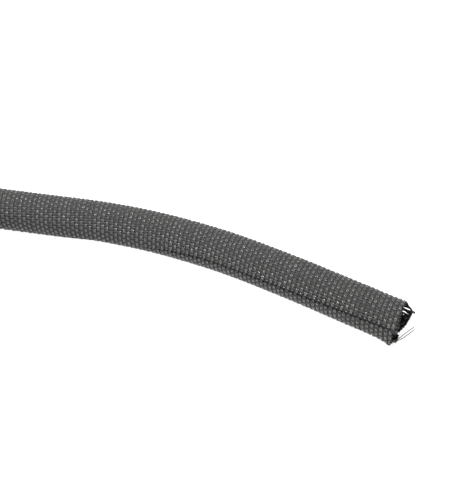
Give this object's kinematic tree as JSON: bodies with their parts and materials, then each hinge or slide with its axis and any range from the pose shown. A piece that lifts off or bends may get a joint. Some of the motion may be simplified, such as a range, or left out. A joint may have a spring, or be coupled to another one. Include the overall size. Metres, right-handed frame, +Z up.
{
  "type": "braided cable sleeve",
  "caption": "Self-closing woven sleeve for a cable bundle: an overlapping tube with one straight free end, the rest wound in a low coil.",
  "frame": {"origin": "centre of the bounding box, on the floor that the sleeve lies on", "axes": "+X out of the straight free end's mouth, +Z up from the floor"},
  "size_m": [0.2682, 0.2004, 0.0301],
  "materials": {
    "sleeve": "woven polyester yarns, satin"
  },
  "bodies": {
    "root": {"sleeve": "sleeve"}
  },
  "joints": []
}
